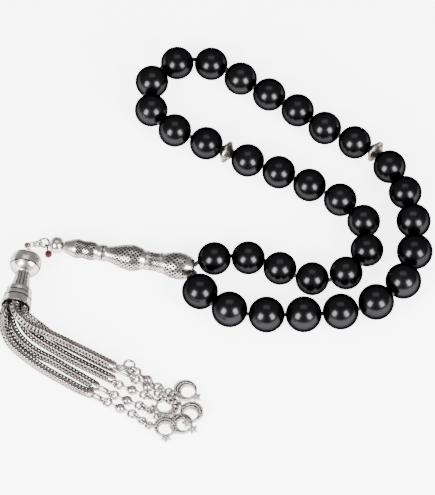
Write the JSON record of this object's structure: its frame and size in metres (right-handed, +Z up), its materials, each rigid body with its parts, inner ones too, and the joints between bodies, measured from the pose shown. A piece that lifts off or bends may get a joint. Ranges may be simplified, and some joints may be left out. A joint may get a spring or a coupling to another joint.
{
  "type": "prayer beads",
  "caption": "Misbaha prayer beads: gloss black beads on a cord through a turned silver leader bead, with a bell cap and woven chain strands ending in crescent charms.",
  "frame": {"origin": "under the middle of the laid-out string, on the table top", "axes": "+Z up from the table, +Y towards the far turn of the beads, +X towards the near turn, away from the tassel"},
  "size_m": [0.1287, 0.1375, 0.0108],
  "materials": {
    "beads": "polished black, like onyx or glass",
    "cord": "twisted black cord",
    "silver": "polished silver with darkened hollows",
    "chain": "woven silver wire, slightly darkened",
    "thread": "fine rose-brown thread",
    "garnet": "dark red knotted thread"
  },
  "bodies": {
    "string": {"bead_cord": "cord", "leader_bead": "silver", "tip_loop": "silver"},
    "bead_01": {"bead_01": "beads"},
    "bead_02": {"bead_02": "beads"},
    "bead_03": {"bead_03": "beads"},
    "bead_04": {"bead_04": "beads"},
    "bead_05": {"bead_05": "beads"},
    "bead_06": {"bead_06": "beads"},
    "bead_07": {"bead_07": "beads"},
    "bead_08": {"bead_08": "beads"},
    "bead_09": {"bead_09": "beads"},
    "bead_10": {"bead_10": "beads"},
    "bead_11": {"bead_11": "beads"},
    "divider_1": {"divider_1": "silver"},
    "bead_12": {"bead_12": "beads"},
    "bead_13": {"bead_13": "beads"},
    "bead_14": {"bead_14": "beads"},
    "bead_15": {"bead_15": "beads"},
    "bead_16": {"bead_16": "beads"},
    "bead_17": {"bead_17": "beads"},
    "bead_18": {"bead_18": "beads"},
    "bead_19": {"bead_19": "beads"},
    "bead_20": {"bead_20": "beads"},
    "bead_21": {"bead_21": "beads"},
    "bead_22": {"bead_22": "beads"},
    "divider_2": {"divider_2": "silver"},
    "bead_23": {"bead_23": "beads"},
    "bead_24": {"bead_24": "beads"},
    "bead_25": {"bead_25": "beads"},
    "bead_26": {"bead_26": "beads"},
    "bead_27": {"bead_27": "beads"},
    "bead_28": {"bead_28": "beads"},
    "bead_29": {"bead_29": "beads"},
    "bead_30": {"bead_30": "beads"},
    "bead_31": {"bead_31": "beads"},
    "bead_32": {"bead_32": "beads"},
    "bead_33": {"bead_33": "beads"},
    "tip_bead": {"tip_bead": "silver"},
    "red_knot": {"red_knot": "garnet"},
    "hanger_ring": {"hanger_ring": "silver"},
    "hanger_thread": {"hanger_thread": "thread"},
    "cap": {"tassel_cap": "silver", "eye_pin": "silver", "chain_ring": "silver"},
    "lower_chains": {"chain_2": "chain", "chain_3": "chain"},
    "chain_1_body": {"chain_1": "chain"},
    "chain_4_body": {"chain_4": "chain"},
    "chain_5_body": {"chain_5": "chain"},
    "ball_link_1": {"ball_link_1": "silver"},
    "charm_1": {"charm_1": "silver"},
    "ball_link_2": {"ball_link_2": "silver"},
    "charm_2": {"charm_2": "silver"},
    "ball_link_3": {"ball_link_3": "silver"},
    "charm_3": {"charm_3": "silver"},
    "ball_link_4": {"ball_link_4": "silver"},
    "charm_4": {"charm_4": "silver"},
    "ball_link_5": {"ball_link_5": "silver"},
    "charm_5": {"charm_5": "silver"}
  },
  "joints": [
    {"name": "bead_01_spin", "type": "hinge", "parent": "string", "child": "bead_01", "pos_m": [-0.00095, -0.00595, 0.005], "axis": [0.9741, 0.2263, 0], "continuous": true},
    {"name": "bead_02_spin", "type": "hinge", "parent": "string", "child": "bead_02", "pos_m": [0.00915, -0.0057, 0.005], "axis": [0.9851, -0.1722, 0], "continuous": true},
    {"name": "bead_03_spin", "type": "hinge", "parent": "string", "child": "bead_03", "pos_m": [0.01855, -0.0094, 0.005], "axis": [0.8351, -0.5502, 0], "continuous": true},
    {"name": "bead_04_spin", "type": "hinge", "parent": "string", "child": "bead_04", "pos_m": [0.0281, -0.01305, 0.005], "axis": [0.9874, -0.1584, 0], "continuous": true},
    {"name": "bead_05_spin", "type": "hinge", "parent": "string", "child": "bead_05", "pos_m": [0.03815, -0.01105, 0.005], "axis": [0.8575, 0.5145, 0], "continuous": true},
    {"name": "bead_06_spin", "type": "hinge", "parent": "string", "child": "bead_06", "pos_m": [0.0444, -0.0029, 0.005], "axis": [0.2723, 0.9622, 0], "continuous": true},
    {"name": "bead_07_spin", "type": "hinge", "parent": "string", "child": "bead_07", "pos_m": [0.04355, 0.0073, 0.005], "axis": [-0.4324, 0.9017, 0], "continuous": true},
    {"name": "bead_08_spin", "type": "hinge", "parent": "string", "child": "bead_08", "pos_m": [0.0366, 0.01495, 0.005], "axis": [-0.8583, 0.5131, 0], "continuous": true},
    {"name": "bead_09_spin", "type": "hinge", "parent": "string", "child": "bead_09", "pos_m": [0.0275, 0.0202, 0.005], "axis": [-0.8742, 0.4856, 0], "continuous": true},
    {"name": "bead_10_spin", "type": "hinge", "parent": "string", "child": "bead_10", "pos_m": [0.01835, 0.0248, 0.005], "axis": [-0.9114, 0.4116, 0], "continuous": true},
    {"name": "bead_11_spin", "type": "hinge", "parent": "string", "child": "bead_11", "pos_m": [0.00905, 0.02905, 0.005], "axis": [-0.9077, 0.4197, 0], "continuous": true},
    {"name": "divider_1_spin", "type": "hinge", "parent": "string", "child": "divider_1", "pos_m": [0.0028, 0.032, 0.005], "axis": [-0.8944, 0.4472, 0], "continuous": true},
    {"name": "bead_12_spin", "type": "hinge", "parent": "string", "child": "bead_12", "pos_m": [-0.00335, 0.0352, 0.005], "axis": [-0.8845, 0.4665, 0], "continuous": true},
    {"name": "bead_13_spin", "type": "hinge", "parent": "string", "child": "bead_13", "pos_m": [-0.0128, 0.03985, 0.005], "axis": [-0.9088, 0.4173, 0], "continuous": true},
    {"name": "bead_14_spin", "type": "hinge", "parent": "string", "child": "bead_14", "pos_m": [-0.0199, 0.0472, 0.005], "axis": [-0.3961, 0.9182, 0], "continuous": true},
    {"name": "bead_15_spin", "type": "hinge", "parent": "string", "child": "bead_15", "pos_m": [-0.01975, 0.05745, 0.005], "axis": [0.4151, 0.9098, 0], "continuous": true},
    {"name": "bead_16_spin", "type": "hinge", "parent": "string", "child": "bead_16", "pos_m": [-0.01215, 0.0643, 0.005], "axis": [0.9514, 0.3081, 0], "continuous": true},
    {"name": "bead_17_spin", "type": "hinge", "parent": "string", "child": "bead_17", "pos_m": [-0.0019, 0.064, 0.005], "axis": [0.9285, -0.3714, 0], "continuous": true},
    {"name": "bead_18_spin", "type": "hinge", "parent": "string", "child": "bead_18", "pos_m": [0.007, 0.0586, 0.005], "axis": [0.7538, -0.6571, 0], "continuous": true},
    {"name": "bead_19_spin", "type": "hinge", "parent": "string", "child": "bead_19", "pos_m": [0.01555, 0.05285, 0.005], "axis": [0.8925, -0.451, 0], "continuous": true},
    {"name": "bead_20_spin", "type": "hinge", "parent": "string", "child": "bead_20", "pos_m": [0.0241, 0.0471, 0.005], "axis": [0.7538, -0.6571, 0], "continuous": true},
    {"name": "bead_21_spin", "type": "hinge", "parent": "string", "child": "bead_21", "pos_m": [0.0322, 0.0407, 0.005], "axis": [0.8137, -0.5812, 0], "continuous": true},
    {"name": "bead_22_spin", "type": "hinge", "parent": "string", "child": "bead_22", "pos_m": [0.04115, 0.03555, 0.005], "axis": [0.911, -0.4124, 0], "continuous": true},
    {"name": "divider_2_spin", "type": "hinge", "parent": "string", "child": "divider_2", "pos_m": [0.0473, 0.03225, 0.005], "axis": [0.7727, -0.6347, 0], "continuous": true},
    {"name": "bead_23_spin", "type": "hinge", "parent": "string", "child": "bead_23", "pos_m": [0.0515, 0.02675, 0.005], "axis": [0.5413, -0.8409, 0], "continuous": true},
    {"name": "bead_24_spin", "type": "hinge", "parent": "string", "child": "bead_24", "pos_m": [0.05605, 0.01755, 0.00505], "axis": [0.3394, -0.9406, 0.0097], "continuous": true},
    {"name": "bead_25_spin", "type": "hinge", "parent": "string", "child": "bead_25", "pos_m": [0.0584, 0.0073, 0.00525], "axis": [0.1104, -0.9935, 0.0276], "continuous": true},
    {"name": "bead_26_spin", "type": "hinge", "parent": "string", "child": "bead_26", "pos_m": [0.0586, -0.0037, 0.0054], "axis": [-0.0712, -0.9975, 0], "continuous": true},
    {"name": "bead_27_spin", "type": "hinge", "parent": "string", "child": "bead_27", "pos_m": [0.0551, -0.0141, 0.0054], "axis": [-0.5425, -0.84, 0], "continuous": true},
    {"name": "bead_28_spin", "type": "hinge", "parent": "string", "child": "bead_28", "pos_m": [0.04695, -0.0215, 0.0054], "axis": [-0.8891, -0.4578, 0], "continuous": true},
    {"name": "bead_29_spin", "type": "hinge", "parent": "string", "child": "bead_29", "pos_m": [0.03645, -0.0249, 0.0054], "axis": [-0.9894, -0.1452, 0], "continuous": true},
    {"name": "bead_30_spin", "type": "hinge", "parent": "string", "child": "bead_30", "pos_m": [0.0255, -0.02585, 0.0054], "axis": [-0.9996, -0.0273, 0], "continuous": true},
    {"name": "bead_31_spin", "type": "hinge", "parent": "string", "child": "bead_31", "pos_m": [0.0145, -0.02595, 0.0054], "axis": [-1, 0.0091, 0], "continuous": true},
    {"name": "bead_32_spin", "type": "hinge", "parent": "string", "child": "bead_32", "pos_m": [0.00355, -0.0241, 0.0054], "axis": [-0.9496, 0.3136, 0], "continuous": true},
    {"name": "bead_33_spin", "type": "hinge", "parent": "string", "child": "bead_33", "pos_m": [-0.0052, -0.0178, 0.0054], "axis": [-0.5914, 0.8064, 0], "continuous": true},
    {"name": "tip_bead_spin", "type": "hinge", "parent": "string", "child": "tip_bead", "pos_m": [-0.0478, -0.00055, 0.0041], "axis": [-0.9797, 0.2003, 0], "continuous": true},
    {"name": "red_knot_swing", "type": "hinge", "parent": "string", "child": "red_knot", "pos_m": [-0.05078, -0.00109, 0.0041], "axis": [-0.8593, -0.5115, 0], "range_deg": [0, 20]},
    {"name": "hanger_ring_swing", "type": "hinge", "parent": "string", "child": "hanger_ring", "pos_m": [-0.05301, -0.00013, 0.0041], "axis": [0, 0, 1], "range_deg": [-6, 6]},
    {"name": "hanger_thread_swing", "type": "hinge", "parent": "hanger_ring", "child": "hanger_thread", "pos_m": [-0.05467, -0.0005, 0.0041], "axis": [0, 0, 1], "range_deg": [-8, 8]},
    {"name": "cap_lift", "type": "hinge", "parent": "hanger_thread", "child": "cap", "pos_m": [-0.05598, -0.00193, 0.00475], "axis": [-0.9844, 0.1761, 0], "range_deg": [0, 45]},
    {"name": "bundle_lift", "type": "hinge", "parent": "cap", "child": "lower_chains", "pos_m": [-0.06003, -0.02457, 0.00475], "axis": [-0.9844, 0.1761, 0], "range_deg": [0, 20]},
    {"name": "chain_1_swing", "type": "hinge", "parent": "lower_chains", "child": "chain_1_body", "pos_m": [-0.0625, -0.0241, 0.00555], "axis": [0, 0, 1], "range_deg": [-15, 0]},
    {"name": "chain_4_swing", "type": "hinge", "parent": "lower_chains", "child": "chain_4_body", "pos_m": [-0.0575, -0.0252, 0.0056], "axis": [0, 0, 1], "range_deg": [0, 15]},
    {"name": "chain_5_lift", "type": "hinge", "parent": "lower_chains", "child": "chain_5_body", "pos_m": [-0.06, -0.0246, 0.0074], "axis": [-0.5101, -0.8601, 0], "range_deg": [0, 15]},
    {"name": "ball_link_1_lift", "type": "hinge", "parent": "chain_1_body", "child": "ball_link_1", "pos_m": [-0.03338, -0.05359, 0.0015], "axis": [-0.4797, -0.8774, 0], "range_deg": [0, 20]},
    {"name": "charm_1_lift", "type": "hinge", "parent": "ball_link_1", "child": "charm_1", "pos_m": [-0.02408, -0.05867, 0.0015], "axis": [-0.4797, -0.8774, 0], "range_deg": [0, 40]},
    {"name": "ball_link_2_swing", "type": "hinge", "parent": "lower_chains", "child": "ball_link_2", "pos_m": [-0.03148, -0.05109, 0.0015], "axis": [0, 0, 1], "range_deg": [-2, 0]},
    {"name": "charm_2_swing", "type": "hinge", "parent": "ball_link_2", "child": "charm_2", "pos_m": [-0.02192, -0.05568, 0.0015], "axis": [0, 0, 1], "range_deg": [-4, 0]},
    {"name": "ball_link_3_lift", "type": "hinge", "parent": "lower_chains", "child": "ball_link_3", "pos_m": [-0.03014, -0.04758, 0.0015], "axis": [-0.4174, -0.9087, 0], "range_deg": [0, 0.8]},
    {"name": "charm_3_lift", "type": "hinge", "parent": "ball_link_3", "child": "charm_3", "pos_m": [-0.02051, -0.052, 0.0015], "axis": [-0.4174, -0.9087, 0], "range_deg": [0, 1.5]},
    {"name": "ball_link_4_lift", "type": "hinge", "parent": "chain_4_body", "child": "ball_link_4", "pos_m": [-0.02482, -0.0428, 0.0015], "axis": [-0.6383, -0.7697, 0], "range_deg": [0, 20]},
    {"name": "charm_4_lift", "type": "hinge", "parent": "ball_link_4", "child": "charm_4", "pos_m": [-0.01666, -0.04957, 0.0015], "axis": [-0.6383, -0.7697, 0], "range_deg": [0, 40]},
    {"name": "ball_link_5_lift", "type": "hinge", "parent": "chain_5_body", "child": "ball_link_5", "pos_m": [-0.02509, -0.04668, 0.00325], "axis": [-0.5688, -0.8225, 0], "range_deg": [0, 20]},
    {"name": "charm_5_lift", "type": "hinge", "parent": "ball_link_5", "child": "charm_5", "pos_m": [-0.01637, -0.05271, 0.00325], "axis": [-0.5688, -0.8225, 0], "range_deg": [0, 40]}
  ]
}
